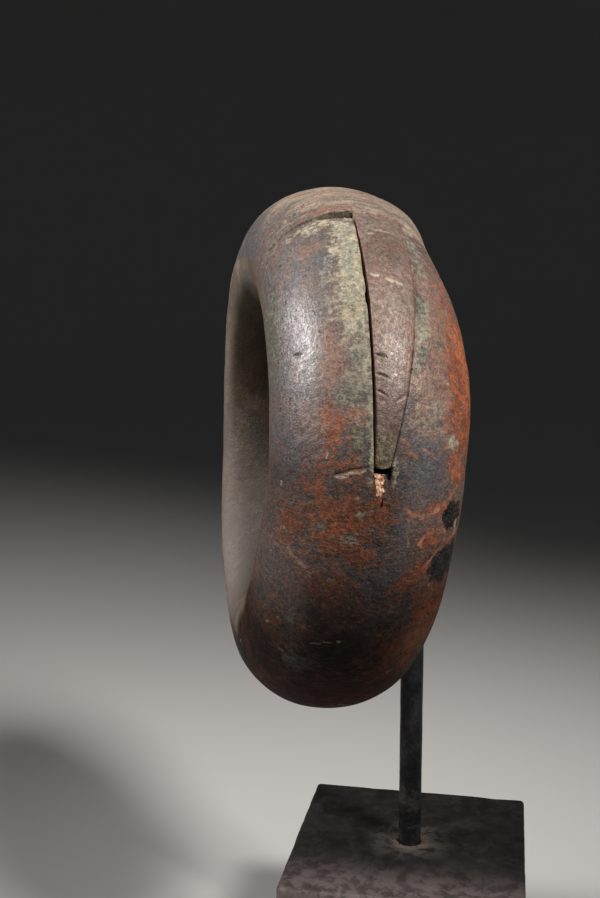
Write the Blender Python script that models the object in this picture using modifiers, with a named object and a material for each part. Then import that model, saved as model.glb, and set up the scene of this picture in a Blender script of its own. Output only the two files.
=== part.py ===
"""A manilla hung on its stand, modelled as one ring, one bent rod and one square block.

The ring is a heavy copper bar bent round until its ends lap. Its upper end is drawn out into a tongue
that lies in a V-shaped notch in its lower end, so the joint shows as an open gap on the tongue's left
and a tight line on its right. The rod stands in the block, passes the ring's right flank and bends
through the hole, where the ring hangs on it.

All lengths are in metres. +X runs to the right along the block's front, +Y away and +Z up, and the
origin is the middle of the block's underside. Angles round the ring start at the side that faces the
viewer and grow upwards, so the top of the ring is at 90 degrees.
"""

import math

import bmesh
import bpy
from mathutils import Matrix, Vector

# Ring
RING_DIAMETER = 0.1222
BAR_WIDTH = 0.042
BAR_THICKNESS = 0.0325
OUTER_SHARE = 0.543
RING_TURN = math.radians(19.2)
RING_LEAN = math.radians(1.2)
RING_LIFT = 0.0457

# The bar was shaped by hand, so these shares of its sizes change every 45 degrees round the ring.
RADIUS_SHARES = (0.950, 0.990, 1.013, 1.034, 1.012, 0.990, 1.015, 0.976)
LEFT_SHARES = (0.893, 0.903, 0.970, 1.025, 1.017, 1.070, 1.049, 1.037)
RIGHT_SHARES = (1.056, 1.064, 0.923, 0.872, 0.992, 1.050, 1.045, 0.930)
OUTWARD_SHARES = (0.988, 0.943, 0.947, 1.000, 1.000, 1.000, 1.030, 1.066)
RING_SEGMENTS = 108
BAR_SEGMENTS = 28

# The right flank is drawn in where the upper arm narrows into the tongue.
NECK_ANGLE = math.radians(58)
NECK_SPREAD = math.radians(14)
NECK_DEPTH = 0.0017

# Lapped joint
TONGUE_TIP = math.radians(3)
TONGUE_FULL = math.radians(50)
TONGUE_ROOT = math.radians(64)
TONGUE_WIDTH = 0.0111
TIP_WIDTH = 0.0029
TIP_OFFSET = 0.0008
ROOT_OFFSET = 0.0002
GAP_WIDTH = 0.0008
GAP_DEPTH = 0.006
SEAM_WIDTH = 0.0004
SEAM_DEPTH = 0.0014
SHOULDER_WIDTH = 0.0012
SHOULDER_DEPTH = 0.003
SHOULDER_END_DEPTH = 0.0006
SHOULDER_REACH = 0.85
SHOULDER_RISE = math.radians(4)
POCKET_WIDTH = 0.0018
POCKET_DEPTH = 0.0035

# Rod
ROD_DIAMETER = 0.006
ROD_BEHIND = 0.009
ROD_BEND = 0.009
ARM_PAST_MIDDLE = 0.010
BEND_SEGMENTS = 10

# Block
BLOCK_SIDE = 0.0603
BLOCK_HEIGHT = 0.040
BLOCK_EDGE = 0.0012
SOCKET_FLOOR = 0.020
SOCKET_CLEARANCE = 0.0003

# Gap left where two pieces touch
TOUCH_GAP = 0.0003

# How far a cutter stands clear of the surface that it cuts
CUTTER_PROUD = 0.002


def clear_scene():
    """Remove whatever the file holds, so that the model stands alone."""
    for thing in list(bpy.data.objects):
        bpy.data.objects.remove(thing)


def new_collection(name, hidden=False):
    """Make a collection, hidden from the render where it holds only tools."""
    collection = bpy.data.collections.new(name)
    collection.hide_render = hidden
    bpy.context.scene.collection.children.link(collection)
    return collection


def new_material(name, colour, roughness, metallic):
    """Make a plain surface of one colour."""
    material = bpy.data.materials.new(name)
    material.use_nodes = True
    shader = material.node_tree.nodes["Principled BSDF"]
    shader.inputs["Base Color"].default_value = (*colour, 1)
    shader.inputs["Roughness"].default_value = roughness
    shader.inputs["Metallic"].default_value = metallic
    return material


def add_mesh_object(name, shape, collection, material=None):
    """Turn a bmesh into a named object in a collection."""
    mesh = bpy.data.meshes.new(name)
    shape.to_mesh(mesh)
    shape.free()
    thing = bpy.data.objects.new(name, mesh)
    collection.objects.link(thing)
    if material:
        mesh.materials.append(material)
    return thing


def make_cutter(thing):
    """Show an object as a wire and keep it out of the render."""
    thing.hide_render = True
    thing.display_type = "WIRE"


def shade_round(thing, sharpest=math.radians(35)):
    """Shade a round piece smooth, except at its real edges."""
    thing.data.shade_smooth()
    thing.data.set_sharp_from_angle(angle=sharpest)


def subtract(thing, cutter):
    """Cut one object out of another."""
    cut = thing.modifiers.new("cut_" + cutter.name, "BOOLEAN")
    cut.operation = "DIFFERENCE"
    cut.solver = "EXACT"
    cut.object = cutter


def share_at(shares, angle):
    """Read a row of shares, spread evenly round the ring, as one smooth closed curve."""
    place = angle / math.tau % 1 * len(shares)
    start = math.floor(place)
    part = place - start
    before, low, high, after = (shares[(start + step) % len(shares)] for step in (-1, 0, 1, 2))
    slope = (high - before) / 2
    bend = before - 2.5 * low + 2 * high - after / 2
    twist = 1.5 * (low - high) + (after - before) / 2
    return low + part * (slope + part * (bend + part * twist))


def neck_at(angle):
    """How far the right flank is drawn in at an angle."""
    away = math.remainder(angle - NECK_ANGLE, math.tau) / NECK_SPREAD
    return NECK_DEPTH * math.exp(-(away**2))


def bar_half_width(angle, side):
    """Half the bar's width at an angle, on its right where side is positive and else on its left."""
    if side > 0:
        return BAR_WIDTH / 2 * share_at(RIGHT_SHARES, angle) - neck_at(angle)
    return BAR_WIDTH / 2 * share_at(LEFT_SHARES, angle)


def bar_depth(angle, outwards):
    """How far the skin lies from the bar's middle, outwards where that is positive and else inwards."""
    if outwards > 0:
        return BAR_THICKNESS * OUTER_SHARE * share_at(OUTWARD_SHARES, angle)
    return BAR_THICKNESS * (1 - OUTER_SHARE)


def bar_point(angle, around):
    """A point of the bar's skin, measured from the ring's centre.

    Around is 0 on the outside of the ring, a quarter turn at its right flank and a half turn in the hole.
    """
    centre_line = RING_DIAMETER / 2 - BAR_THICKNESS * OUTER_SHARE
    outwards = math.cos(around)
    radius = centre_line * share_at(RADIUS_SHARES, angle) + bar_depth(angle, outwards) * outwards
    sideways = math.sin(around)
    across = bar_half_width(angle, sideways) * sideways
    return Vector((across, -radius * math.cos(angle), radius * math.sin(angle)))


def bar_normal(angle, around, step=0.001):
    """The direction straight out of the bar's skin."""
    along = bar_point(angle + step, around) - bar_point(angle - step, around)
    across = bar_point(angle, around + step) - bar_point(angle, around - step)
    return across.cross(along).normalized()


def around_at(angle, across):
    """The place round the bar, on the outside of the ring, that lies a given way across it."""
    reach = across / bar_half_width(angle, across)
    return math.asin(max(-1, min(1, reach)))


def share_between(angle, start, end):
    """How far an angle lies on the way from one angle to another, held within 0 and 1."""
    return max(0, min(1, (angle - start) / (end - start)))


def tongue_left(angle):
    """Where the tongue's left edge runs, as a way to the right of the bar's middle: a little under 0."""
    share = share_between(angle, TONGUE_TIP, TONGUE_ROOT)
    return -TIP_OFFSET + (TIP_OFFSET - ROOT_OFFSET) * share**3


def tongue_right(angle):
    """Where the tongue's right edge runs, as a way to the right of the bar's middle."""
    swell = math.sin(math.pi / 2 * share_between(angle, TONGUE_TIP, TONGUE_FULL))
    return TIP_WIDTH - TIP_OFFSET + (TONGUE_WIDTH - TIP_WIDTH) * swell


def ring_lean():
    """The ring's own small lean, as a turn about the line that points away from the viewer."""
    return Matrix.Rotation(RING_LEAN, 3, "Y")


def skin_samples(low, high, start, end, count=60):
    """Points of the leaning ring's skin between two angles and between two places round the bar."""
    lean = ring_lean()
    for i in range(count + 1):
        angle = low + (high - low) * i / count
        for j in range(count + 1):
            yield lean @ bar_point(angle, start + (end - start) * j / count)


def rod_clearance():
    """How far to the left of the rod the ring's centre hangs, so that the rod just clears the flank."""
    flank = 0
    for point in skin_samples(math.radians(-150), math.radians(-30), 0, math.pi):
        if abs(point.y - ROD_BEHIND) < ROD_DIAMETER:
            flank = max(flank, point.x)
    return flank + TOUCH_GAP + ROD_DIAMETER / 2


def ring_place():
    """The ring's centre, on the left of the rod and in front of it."""
    beside = Vector((-rod_clearance(), -ROD_BEHIND, 0))
    beside.rotate(Matrix.Rotation(RING_TURN, 3, "Z"))
    lowest = min(point.z for point in skin_samples(math.radians(-120), math.radians(-60), -1.5, 1.5))
    beside.z = BLOCK_HEIGHT + RING_LIFT - lowest
    return beside


def arm_height(centre):
    """The height of the arm's middle line, where the ring's hole rests on the arm."""
    turn = Matrix.Rotation(RING_TURN, 3, "Z")
    along = Vector((centre.x, centre.y, 0)).normalized()
    radius = ROD_DIAMETER / 2
    heights = []
    for point in skin_samples(math.radians(50), math.radians(130), math.pi / 2, 1.5 * math.pi):
        place = centre + turn @ point
        sideways = abs(place.x * along.y - place.y * along.x)
        if sideways < radius:
            heights.append(place.z - math.sqrt(radius**2 - sideways**2))
    return min(heights) - TOUCH_GAP


def seam_cutter(name, route, depth, width, collection, steps=20):
    """A thin wall that stands in the bar's skin and follows a route across it.

    Route gives the angle and the way across at each share of the wall's length, and depth how deep it
    goes there.
    """
    shape = bmesh.new()
    bmesh.ops.create_grid(shape, x_segments=steps, y_segments=2, size=1)
    for vertex in shape.verts:
        share = (vertex.co.x + 1) / 2
        angle, around = route(share)
        level = (vertex.co.y + 1) / 2
        rise = CUTTER_PROUD * level - depth(share) * (1 - level)
        vertex.co = bar_point(angle, around) + bar_normal(angle, around) * rise
    cutter = add_mesh_object(name, shape, collection)
    wall = cutter.modifiers.new("width", "SOLIDIFY")
    wall.thickness = width
    wall.offset = 0
    make_cutter(cutter)
    return cutter


def gap_route(share):
    """Up the tongue's left edge, from under its tip to the shoulder."""
    angle = TONGUE_TIP + (TONGUE_ROOT - TONGUE_TIP) * share
    return angle, around_at(angle, tongue_left(angle))


def seam_route(share):
    """Up the tongue's right edge, from its tip to where the right lobe starts."""
    angle = TONGUE_TIP + (TONGUE_ROOT - TONGUE_TIP) * share
    return angle, around_at(angle, tongue_right(angle))


def shoulder_route(share):
    """Across the bar from the gap to the left flank, where the left lobe butts against the shoulder."""
    angle = TONGUE_ROOT - SHOULDER_RISE / 2 + SHOULDER_RISE * share**2
    start = around_at(angle, tongue_left(angle))
    end = -math.pi / 2 * SHOULDER_REACH
    return angle, start + (end - start) * share


def pocket_route(share):
    """Across the foot of the notch, just under the tongue's tip."""
    angle = TONGUE_TIP - POCKET_WIDTH / RING_DIAMETER
    across = tongue_left(angle) - GAP_WIDTH / 2 + (TIP_WIDTH + GAP_WIDTH) * share
    return angle, around_at(angle, across)


def shoulder_depth(share):
    """How deep the shoulder's groove goes: deep at the gap and fading out towards the flank."""
    return SHOULDER_DEPTH + (SHOULDER_END_DEPTH - SHOULDER_DEPTH) * share


def make_ring(parts, cutters, place):
    """The closed bar with its lapped joint."""
    copper = new_material("patinated_copper", (0.17, 0.075, 0.05), 0.45, 0.75)
    centre_line = RING_DIAMETER / 2 - BAR_THICKNESS * OUTER_SHARE
    bpy.ops.mesh.primitive_torus_add(
        major_segments=RING_SEGMENTS,
        minor_segments=BAR_SEGMENTS,
        major_radius=centre_line,
        minor_radius=BAR_THICKNESS / 2,
    )
    ring = bpy.context.object
    ring.name = "manilla"
    ring.data.name = "manilla"
    for vertex in ring.data.vertices:
        x, y, z = vertex.co
        vertex.co = bar_point(math.atan2(y, x), math.atan2(-z, math.hypot(x, y) - centre_line))
    for collection in list(ring.users_collection):
        collection.objects.unlink(ring)
    parts.objects.link(ring)
    ring.data.materials.append(copper)
    shade_round(ring)
    ring.parent = place
    walls = (
        seam_cutter("gap_cutter", gap_route, lambda share: GAP_DEPTH, GAP_WIDTH, cutters),
        seam_cutter("seam_cutter", seam_route, lambda share: SEAM_DEPTH, SEAM_WIDTH, cutters),
        seam_cutter("shoulder_cutter", shoulder_route, shoulder_depth, SHOULDER_WIDTH, cutters),
        seam_cutter("pocket_cutter", pocket_route, lambda share: POCKET_DEPTH, POCKET_WIDTH, cutters, 2),
    )
    for wall in walls:
        wall.parent = place
        subtract(ring, wall)
    return ring


def make_rod(parts, centre):
    """The rod, up from its socket and over into the arm that the ring hangs on."""
    steel = new_material("dark_steel", (0.045, 0.05, 0.06), 0.5, 0.8)
    foot = SOCKET_FLOOR + TOUCH_GAP
    height = arm_height(centre)
    along = Vector((centre.x, centre.y, 0))
    arm_length = along.length + ARM_PAST_MIDDLE
    along.normalize()
    up = Vector((0, 0, 1))
    points = [up * foot]
    for i in range(BEND_SEGMENTS + 1):
        turned = math.pi / 2 * i / BEND_SEGMENTS
        points.append(
            up * (height - ROD_BEND + ROD_BEND * math.sin(turned)) + along * ROD_BEND * (1 - math.cos(turned))
        )
    points.append(up * height + along * arm_length)
    curve = bpy.data.curves.new("stand_rod", "CURVE")
    curve.dimensions = "3D"
    curve.bevel_depth = ROD_DIAMETER / 2
    curve.bevel_resolution = 6
    curve.use_fill_caps = True
    spline = curve.splines.new("POLY")
    spline.points.add(len(points) - 1)
    for target, point in zip(spline.points, points):
        target.co = (*point, 1)
    curve.materials.append(steel)
    rod = bpy.data.objects.new("stand_rod", curve)
    parts.objects.link(rod)
    return rod


def make_block(parts, cutters):
    """The square block, with the blind socket that the rod stands in."""
    paint = new_material("dark_block", (0.05, 0.042, 0.038), 0.6, 0.2)
    socket_depth = BLOCK_HEIGHT - SOCKET_FLOOR
    shape = bmesh.new()
    bmesh.ops.create_cube(shape, size=1)
    bmesh.ops.scale(shape, vec=(BLOCK_SIDE, BLOCK_SIDE, BLOCK_HEIGHT), verts=shape.verts)
    block = add_mesh_object("stand_base", shape, parts, paint)
    block.location.z = BLOCK_HEIGHT / 2
    edges = block.modifiers.new("worn_edges", "BEVEL")
    edges.width = BLOCK_EDGE
    edges.segments = 3
    shape = bmesh.new()
    bmesh.ops.create_cone(
        shape,
        cap_ends=True,
        segments=32,
        radius1=ROD_DIAMETER / 2 + SOCKET_CLEARANCE,
        radius2=ROD_DIAMETER / 2 + SOCKET_CLEARANCE,
        depth=socket_depth + CUTTER_PROUD,
    )
    socket = add_mesh_object("socket_cutter", shape, cutters)
    socket.location.z = BLOCK_HEIGHT + (CUTTER_PROUD - socket_depth) / 2
    make_cutter(socket)
    subtract(block, socket)
    shade_round(block)
    return block


def main():
    clear_scene()
    parts = new_collection("manilla_on_stand")
    cutters = new_collection("cutters", hidden=True)
    centre = ring_place()
    place = bpy.data.objects.new("ring_place", None)
    place.location = centre
    place.rotation_euler = (0, RING_LEAN, RING_TURN)
    parts.objects.link(place)
    make_ring(parts, cutters, place)
    make_rod(parts, centre)
    make_block(parts, cutters)


main()
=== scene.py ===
"""A manilla on its stand: a patinated copper ring, the dark steel rod that it hangs on and its square block.

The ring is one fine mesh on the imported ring's own form, with the lapped joint, the hammering and the marks
in its surface. The rod and the block are finer pieces in the place of their solids.

Lengths are in metres, except where a name or a comment says millimetres. Angles round the ring are in
degrees, start at the side that faces the viewer and grow upwards. Across is how far a point lies to the
right of the bar's middle, seen from outside the ring.
"""

import math

import bpy
import numpy as np
from mathutils import Matrix, Vector, noise


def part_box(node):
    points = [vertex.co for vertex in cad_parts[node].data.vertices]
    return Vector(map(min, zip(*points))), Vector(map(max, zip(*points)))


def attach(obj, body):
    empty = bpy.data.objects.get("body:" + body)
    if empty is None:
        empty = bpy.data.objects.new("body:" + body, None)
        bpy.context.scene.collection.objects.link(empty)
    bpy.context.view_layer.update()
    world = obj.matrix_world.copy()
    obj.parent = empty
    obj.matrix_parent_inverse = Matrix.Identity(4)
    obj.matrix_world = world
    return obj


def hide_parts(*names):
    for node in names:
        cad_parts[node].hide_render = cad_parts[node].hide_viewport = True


MM = 0.001

# The ring's form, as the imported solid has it
RING_DIAMETER = 0.1222
BAR_WIDTH = 0.042
BAR_THICKNESS = 0.0325
OUTER_SHARE = 0.543
RING_TURN = math.radians(19.2)
RING_LEAN = math.radians(1.2)
RADIUS_SHARES = (0.95, 0.99, 1.013, 1.034, 1.012, 0.99, 1.015, 0.976)
LEFT_SHARES = (0.893, 0.903, 0.97, 1.025, 1.017, 1.07, 1.049, 1.037)
RIGHT_SHARES = (1.056, 1.064, 0.923, 0.872, 0.992, 1.05, 1.045, 0.93)
OUTWARD_SHARES = (0.988, 0.943, 0.947, 1, 1, 1, 1.03, 1.066)
NECK_ANGLE = 58
NECK_SPREAD = 14
NECK_DEPTH = 0.0017

# Millimetres that one degree takes on the ring's outside
DEGREE_MM = math.pi * RING_DIAMETER / MM / 360

# The lapped joint, in degrees and millimetres
TONGUE_TIP = 3
TONGUE_FULL = 50
TONGUE_ROOT = 64
TONGUE_WIDTH = 10.63
TIP_WIDTH = 3.48
TIP_OFFSET = 0.38
ROOT_OFFSET = 0.3
GAP_DEPTH = 6
SHOULDER_ANGLE = 62
SHOULDER_RISE = -1.5
SHOULDER_REACH = 0.85
SHOULDER_DEPTH = 1.35
SHOULDER_END_DEPTH = 0.22
GROOVE_END = -2.6
POCKET_DEPTH = 3.2
LIP_NOISE_ROWS = (3, 9)

# Fine creases beyond the left shoulder: the angle that each starts at and its depth in millimetres
SHOULDER_CREASES = ((66, 0.16), (69, 0.1), (72.5, 0.15), (77, 0.12), (81, 0.1))

# The rod and the block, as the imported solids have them
ROD_BEND = 0.009
ARM_PAST_MIDDLE = 0.01
BLOCK_EDGE = 0.0012
SOCKET_RADIUS = 0.0033
MOUTH_RADIUS = 0.00306
SOCKET_FLOOR = 0.02
SOCKET_TOP = 0.0012

# Rings of points at the socket's mouth: how far each stands outside the mouth's radius and how deep it lies
MOUTH_RINGS = ((0, 0.0007), (0, 0.0002), (0.0003, 0))

# How finely the rod and the block are divided, and how sharp an edge has to be to stay sharp
ROD_ROUNDING = 0.0008
ROD_SIDES = 36
UPRIGHT_RINGS = 150
BEND_RINGS = 24
ARM_RINGS = 30
SIDE_POINTS = 52
CORNER_POINTS = 8
SOCKET_RINGS = 12
TOP_RINGS = 34
SIDE_RINGS = 28
BOTTOM_RINGS = 20
SHARP_ANGLE = math.radians(50)

# The floor and the wall around the object
FLOOR_RADIUS = 1.5
COVE_RADIUS = 0.9
WALL_HEIGHT = 3
STAGE_SIDES = 96

# Where the camera stands, measured from the ring's centre, and how it looks
VIEW_TURN = math.radians(10.93)
VIEW_PITCH = math.radians(7.82)
CAMERA_BACK = 0.263
CAMERA_LEFT = 0.00605
CAMERA_UP = 0.03485
LENS_MM = 44.04
SENSOR_MM = 36

# Stretches of the ring's grid: where each starts, where it ends and how far apart its columns stand
COLUMN_ZONES = (
    (-130, -42, 1.35), (-42, -4, 0.65), (-4, 5, 0.2), (5, 15, 0.45), (15, 25, 0.2), (25, 58, 0.52),
    (58, 68, 0.27), (68, 96, 0.7), (96, 230, 1.35),
)
LEFT_LOBE_ROWS = 44
TONGUE_ROWS = 15
RIGHT_LOBE_ROWS = 34
HOLE_ROWS = 71

# Rows beside the gap: how far from its middle in millimetres, and which share of its depth they lie at
GAP_ROWS = (
    (-1.1, 0), (-0.65, 0.002), (-0.12, 0.015), (0, 0.04), (0.06, 0.9), (0, 1), (-0.06, 0.9), (0, 0.04),
    (0.12, 0.015), (0.65, 0.002), (1.1, 0),
)
GAP_ROW_SPACING = 0.6

# Rows beside the tongue's right line: how far from it and how deep, both in millimetres
SEAM_ROWS = (
    (-0.9, 0), (-0.45, 0.03), (-0.2, 0.09), (-0.08, 0.18), (0, 0.9), (0.08, 0.14), (0.2, 0.04), (0.45, 0),
    (0.9, 0),
)
SEAM_ROW_SPACING = 0.55
SEAM_RESTING_PLACE = 8

# Marks on the tongue: where each crescent starts on its left edge, how long it is and how far it drops
CRESCENTS = ((24.1, 2.7, 0.7), (20.3, 3.1, 1.3), (17.1, 2.5, 1.4))

# Noise in the ring's form and patina: its name, the size of its lumps in metres, its seed and its octaves
LUMPS = (
    ("lumps_wide", 0.013, 1, 1), ("lumps_middle", 0.0052, 2, 1), ("lumps_fine", 0.0021, 3, 2),
    ("lumps_pits", 0.0026, 4, 1), ("lumps_tiny", 0.0007, 5, 1), ("lumps_patch", 0.016, 6, 3),
    ("lumps_patch_small", 0.007, 7, 3), ("bend_up", 0.006, 8, 2), ("bend_side", 0.006, 9, 2),
)

# How sharply a patch of patina ends: 1 is a wide soft edge
PATCH_EDGE = 1.5

# Patches of patina by layer: angle, across, half height, half width, strength and any tilt
PATCHES = {
    "orange": (
        (-9, -7, 7.5, 6.5, 0.8), (-2, -10.5, 6, 4, 0.55), (9, -8, 8, 2.8, 0.62), (5, -6.4, 5, 3.6, 0.58),
        (-5, 1, 5, 3, 0.66), (-10, -15.5, 8, 3.4, 0.5), (-36, -17.5, 8, 3.4, 0.42),
        (-19.2, 8.9, 1.6, 4.4, 0.9, -29), (-14, -3, 4, 5, 0.62), (-22, -8, 7, 7, 0.42),
        (43, 17.6, 9, 3, 0.34), (20, 20, 16, 3.5, 1.3), (30, 15.4, 9, 2.4, 0.22), (16.6, 13, 0.8, 5, 0.35),
        (14, 14, 0.6, 4, 0.3), (22, 13.5, 0.8, 3, 0.25), (2, 18, 5, 2.2, 0.75), (-12, 12.6, 2.8, 3.2, 0.75),
        (-5.6, 13.6, 1.2, 4.2, 0.85), (-18, 11.4, 3, 1.6, 0.8, 35), (-21.5, 8.6, 2.6, 3.6, 0.5, 15),
        (-41, 9.5, 7, 5.5, 1.1), (-34, 14.5, 11, 4, 1), (63.4, -4, 0.6, 2.4, 0.35),
    ),
    "red": (
        (24, -8.4, 9, 2.2, 0.9), (61.3, -1.2, 0.9, 0.9, 1.1), (61.8, 9.9, 1.6, 1.2, 1),
        (51.5, -11, 3, 3.5, 0.75), (9, -10, 10, 5, 0.55), (34, 15, 18, 6, 0.9), (18, 13, 5, 6, 0.75),
        (-9, -6, 14, 9, 0.6), (-58, -1, 14, 15, 0.75), (-40, 9, 12, 9, 0.85), (-20, 15, 20, 6, 0.75),
        (2, 18, 5, 3, 0.6), (63.8, -4.6, 1.5, 5, 1.1),
    ),
    "slate": (
        (32, -15, 24, 4.5, 0.8), (47, -8.2, 4, 3.2, 0.75), (73, -15, 4, 3.6, 0.6), (86, -20, 16, 3.6, 1),
        (2, 10.5, 6.5, 5, 0.9), (1, 4.8, 4, 2, 0.7), (-18, 1.5, 6.5, 5.5, 0.95), (-30, -2, 8, 14, 0.6),
        (-9, 5, 6, 2.4, 0.85), (6, -16.5, 14, 3, 0.6), (4.5, -2.6, 2.6, 1.6, 0.6),
    ),
    "powder": (
        (58.4, -7.4, 2.6, 7.2, 0.58), (54.5, -2.8, 6, 3.2, 0.84), (41, -2.6, 15, 3.2, 1.05),
        (37.5, -6.2, 10, 3.2, 0.48), (49.5, -5.8, 1.6, 1.2, 0.8), (23, -1.9, 6, 1.5, 0.75),
        (18.5, -3.8, 3, 2.6, 0.6), (11.5, -0.9, 9.5, 0.5, 1.2), (54, 11.6, 9, 1.9, 0.52),
        (45.8, 10.2, 1.4, 0.5, 1), (30.2, 10, 2.2, 1.4, 1.25), (26.9, 9, 1.2, 0.7, 1.25),
        (7.4, 16.6, 1.5, 1.5, 0.85), (-10.6, -4.2, 0.6, 1, 0.5), (-6, -2.8, 0.5, 0.7, 0.7),
        (2.2, 3.6, 2.4, 0.5, 0.75),
    ),
    "moss": (
        (23.5, -3.4, 1.6, 1.6, 0.8), (17.5, -4.2, 3.2, 3.2, 0.95), (10, -3, 4.6, 2, 0.8),
        (52, 11.8, 9, 1.9, 0.6), (36, 10.5, 3.6, 1.5, 1.3), (24.4, 9.8, 3.8, 1, 1.3, 27),
        (38, -18.8, 14, 2.2, 0.75), (27.8, 14, 1, 1, 1.25), (-10.3, -4.6, 1, 1.7, 0.95),
        (-8.8, -10.4, 1, 1, 0.9), (-4.5, -12.4, 0.6, 0.9, 0.75), (-31, -14, 2, 2, 0.7),
        (-44, -12.5, 4, 3.5, 0.7),
    ),
    "black": (
        (-8.6, 17, 3.7, 2.1, 1.05, -12), (-19.4, 16, 5.4, 3.6, 1.05, -12),
        (26.4, -14.4, 0.6, 0.9, 0.8, -20),
    ),
    "pale": (
        (80, 3, 15, 15.5, 1.55), (16, 12, 9, 4.4, 0.85), (66, 8, 5, 5, 1.2), (52, -13, 5, 4, 0.35),
        (60, 5, 4.5, 6.5, 1.1), (69, 12, 10, 9, 1.35), (-43.5, -15.5, 0.8, 0.9, 0.7),
        (-43.8, -12.6, 0.7, 0.7, 0.6), (-17.5, -13.2, 1.6, 1.6, 0.35, 30),
    ),
    "mauve": ((16.5, 11.4, 9, 3.6, 0.52),),
    "shade": (
        (48.5, 4.5, 5.5, 5, 0.85), (10.5, 2.2, 5, 2.2, 0.78),
    ),
    # Polished places that also carry painted highlights: the lobe's highlight, its brighter core and the
    # tongue's highlight.
    "polish_and_highlight": (
        (29, -12.8, 12, 3, 1), (27.4, -12, 4.2, 1.9, 0.6), (24, 4.6, 7, 2.4, 0.48),
    ),
}

# Soft swells in the form: angle, place round the bar, height in millimetres and how far they reach each way
SWELLS = (
    (22, 72, 0.6, 14, 34), (74, 48, 0.85, 4.5, 26), (-38, 64, 0.7, 14, 34), (-74, -25, 0.45, 12, 34),
)

# Bright veins between the patches: width in millimetres, strength and the points that each passes through
VEINS = (
    (0.34, 0.85, ((8.4, 4.9), (6.4, 6.5), (4.8, 8.2))),
    (0.36, 0.8, ((7, 9.4), (5.4, 10.8), (4.8, 12.2), (6.2, 13.8), (6.8, 15.3))),
    (0.5, 0.85, ((-5.2, 6.4), (-6.8, 8.7), (-6.9, 11.4), (-5.6, 13.7), (-4.4, 16.1), (-1.6, 17.8))),
    (0.32, 0.65, ((-6, 7.1), (-9.2, 7), (-12.4, 7.3))),
    (0.46, 0.85, ((-12.6, 9.6), (-10.4, 11), (-9.6, 13.5), (-11.6, 15.4), (-14.2, 15.4))),
    (0.62, 0.85, ((-12.8, 18.8), (-14.4, 16.3), (-15.4, 13.8), (-17.6, 11.9))),
    (1, 0.55, ((13.2, -4.4), (12.9, -4))), (0.8, 0.55, ((13.4, -2.5), (13.1, -2.3))),
    (0.6, 0.5, ((11.4, -3.1), (11.2, -2.9))),
)

# How many of the first cream strokes stand up from the surface, and a distance that nothing reaches
RAISED_STROKES = 3
FAR_AWAY = 99

# Thin strokes: angle and across of the start and of the end, width in millimetres and strength
CREAM_AND_GLINT_STROKES = (
    (41.6, 0.9, 41.1, 2.6, 0.46, 1), (40.9, 3.8, 40.3, 5.2, 0.48, 0.9), (40.4, 5.2, 40.3, 7, 0.34, 0.8),
    (54.9, 3.4, 55.1, 8.6, 0.12, 0.6), (53.5, 1.5, 53.4, 2.6, 0.34, 0.8), (50.4, -7.4, 50.6, -6, 0.26, 0.7),
    (50.3, -5.6, 48.4, -4.6, 0.22, 0.6), (49.2, -6.6, 47.8, -6, 0.24, 0.6), (0.9, -7.6, 1.8, -5, 0.34, 0.7),
    (1.8, -5, 2.5, -2.2, 0.26, 0.7), (4.6, -9.4, 5.9, -9.1, 0.16, 0.7),
    (-36, -10.2, -35.2, -8.2, 0.16, 0.35), (-35, -7.8, -34.6, -6.4, 0.16, 0.45),
    (-34, -4.9, -34, -4.7, 0.3, 0.4), (-46.4, 7.6, -46.2, 8, 0.3, 0.5), (20, 15.2, 20.1, 15.4, 0.28, 0.8),
    # The three strokes on this line are painted glints on the tongue.
    (24.9, 3, 24.6, 3.6, 0.16, 0.9), (20.6, 3.8, 20.4, 4.1, 0.22, 0.9), (24.9, 7, 22.2, 6.6, 0.12, 0.6),
    (27.2, 14, 27, 14.2, 0.22, 0.5), (-11.6, 18.5, -10.4, 18.9, 0.42, 0.8),
    (-22.8, 12.7, -22.7, 13, 0.22, 0.6), (-2, -17.2, -1.4, -17.1, 0.16, 0.7),
    (-38, -18.4, -37.2, -18.2, 0.24, 0.6), (26.8, -12.6, 26.5, -12.3, 0.2, 0.5),
    (-11.2, -5.4, -11.6, -3, 0.2, 0.35), (-10.4, -5, -10.7, -3.6, 0.14, 0.3),
    (-15, -15.8, -16.6, -15, 0.4, 0.22), (-17.4, -13.4, -18.2, -12.7, 0.46, 0.24),
    (-19, -12, -19.8, -11.4, 0.24, 0.24), (-2.7, -3.9, -2.8, -3.3, 0.26, 0.45),
    (-11.6, -16.8, -11.5, -16.6, 0.22, 0.5),
)
DARK_AND_SHADOW_STROKES = (
    # The first six follow the crescents' overhanging edges and the next two the scratch's upper edge: painted
    # shadows. The rest are dark marks.
    (24.4, 0.5, 24.2, 1.7, 0.1, 0.8), (24.2, 1.7, 23.9, 2.6, 0.12, 0.9), (20.6, 0.5, 20.4, 1.7, 0.09, 0.7),
    (20.4, 1.7, 19.6, 3, 0.1, 0.8), (17.4, 0.4, 17.2, 1.3, 0.11, 0.9), (17.2, 1.3, 16, 2.5, 0.12, 0.9),
    (1.6, -7.6, 2.6, -5.2, 0.12, 0.8), (2.6, -5.2, 3.1, -2.6, 0.1, 0.8),
    (26.9, -14.9, 26.4, -13.6, 0.26, 0.6), (-9.8, -5.8, -10, -2.6, 0.16, 0.6),
    (-3.4, -12.8, -3.6, -11.8, 0.24, 0.6), (-3.2, -8, -3, -7, 0.18, 0.5),
)
SCRATCHES = (
    (1.5, -7.8, 2.5, -5, 0.28, 0.24), (2.5, -5, 3, -2.2, 0.26, 0.2),
    (-35.2, -10.4, -33.9, -6.6, 0.35, 0.12), (15.6, 4.3, 16.6, 5.7, 0.22, 0.2),
    (13.2, 4.4, 14.2, 5.9, 0.22, 0.18), (26.5, -14.6, 25.6, -12.8, 0.45, 0.16),
)


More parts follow.
